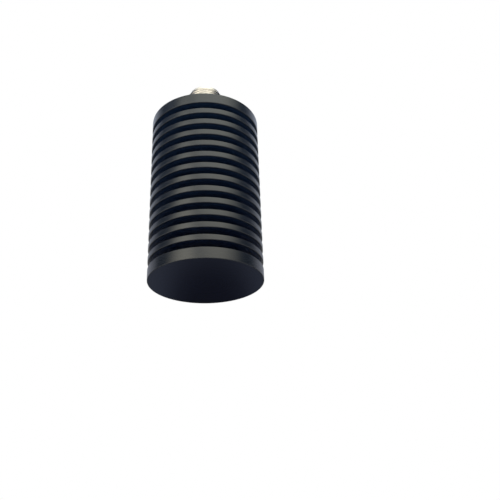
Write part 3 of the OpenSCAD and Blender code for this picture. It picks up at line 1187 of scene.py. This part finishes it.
def hang_card():
    """Upright card under the floor, behind the part, whose glow is a painted reflection in the closed end's
    gloss; only gloss shows it.
    """
    let_go()
    bpy.ops.mesh.primitive_plane_add(size=1)
    card = bpy.context.object
    card.name = "painted_reflection_card"
    card.scale = (*CARD_SIZE, 1)
    card.rotation_euler = (math.pi / 2, 0, 0)
    card.location = (0, SINK_HIGH.y + CARD_GAP, CARD_MIDDLE)
    fix_place()
    card.data.materials.append(card_finish())
    card.visible_camera = False
    card.visible_diffuse = False
    card.visible_transmission = False
    card.visible_shadow = False


def hang_softbox(name, bearing, wide):
    """Soft panel of light that faces the part's middle, given by its bearing and width in degrees."""
    let_go()
    bearing = math.radians(bearing)
    height = math.radians(SOFTBOX_HEIGHT)
    way = Vector((
        math.sin(bearing) * math.cos(height),
        -math.cos(bearing) * math.cos(height),
        math.sin(height),
    ))
    middle = Vector((0, 0, SINK_HIGH.z / 2))
    bpy.ops.object.light_add(type="AREA", location=middle + way * SOFTBOX_DISTANCE)
    panel = bpy.context.object
    panel.name = name
    panel.rotation_euler = way.to_track_quat("Z", "Y").to_euler()
    panel.data.shape = "RECTANGLE"
    panel.data.size = 2 * SOFTBOX_DISTANCE * math.tan(math.radians(wide / 2))
    panel.data.size_y = 2 * SOFTBOX_DISTANCE * math.tan(math.radians(SOFTBOX_TALL / 2))
    panel.data.energy = SOFTBOX_LEVEL * math.pi * panel.data.size * panel.data.size_y
    panel.data.color = SOFTBOX_TONE
    panel.visible_camera = False
    panel.visible_glossy = False


class DUMMYLOAD_OT_stage(bpy.types.Operator):
    """Lay the floor, light the room and set up the camera"""

    bl_idname = "dummyload.stage"
    bl_label = "Stage"

    def execute(self, context):
        size = context.scene.dummy_load.stage
        lay_floor(size)
        light_room()
        hang_card()
        hang_softbox("softbox_left", bearing=-41, wide=42)
        hang_softbox("softbox_right", bearing=22, wide=80)
        let_go()
        bpy.ops.object.camera_add(location=size.camera)
        camera = bpy.context.object
        aim = Matrix.Rotation(-size.yaw, 3, "Z") @ Matrix.Rotation(math.pi / 2 + size.pitch, 3, "X")
        camera.rotation_euler = (aim @ Matrix.Rotation(size.roll, 3, "Z")).to_euler()
        camera.data.lens = size.lens
        camera.data.sensor_width = SENSOR_WIDTH
        camera.data.clip_start = CLIP_START
        context.scene.camera = camera
        context.scene.view_settings.view_transform = "Standard"
        return {"FINISHED"}


class VIEW3D_PT_dummy_load(bpy.types.Panel):
    """Steps and settings of the dummy load"""

    bl_label = "Dummy load"
    bl_space_type = "VIEW_3D"
    bl_region_type = "UI"
    bl_category = "Dummy load"

    def draw(self, context):
        load = context.scene.dummy_load
        for step in STEPS:
            self.layout.operator(step.bl_idname)
        for part in load.__annotations__:
            group = getattr(load, part)
            box = self.layout.box()
            for key in group.__annotations__:
                box.prop(group, key)


GROUPS = (SinkSizes, JackSizes, ContactSizes, FastenerSizes, FinishTones, StageSettings, DummyLoad)
STEPS = (
    DUMMYLOAD_OT_finned_body,
    DUMMYLOAD_OT_jack_body,
    DUMMYLOAD_OT_jack_bead,
    DUMMYLOAD_OT_jack_contact,
    DUMMYLOAD_OT_plate_screws,
    DUMMYLOAD_OT_lock_washers,
    DUMMYLOAD_OT_load_resistor,
    DUMMYLOAD_OT_stage,
)


def register():
    """Make the settings, the steps and the panel known to Blender."""
    for item in (*GROUPS, *STEPS, VIEW3D_PT_dummy_load):
        bpy.utils.register_class(item)
    bpy.types.Scene.dummy_load = PointerProperty(type=DummyLoad)


def unregister():
    """Take the settings, the steps and the panel away again."""
    del bpy.types.Scene.dummy_load
    for item in reversed((*GROUPS, *STEPS, VIEW3D_PT_dummy_load)):
        bpy.utils.unregister_class(item)


def main():
    """Build the part in order."""
    register()
    bpy.ops.dummyload.finned_body()
    bpy.ops.dummyload.jack_body()
    bpy.ops.dummyload.jack_bead()
    bpy.ops.dummyload.jack_contact()
    bpy.ops.dummyload.plate_screws()
    bpy.ops.dummyload.lock_washers()
    bpy.ops.dummyload.load_resistor()
    bpy.ops.dummyload.stage()


if __name__ == "__main__":
    main()
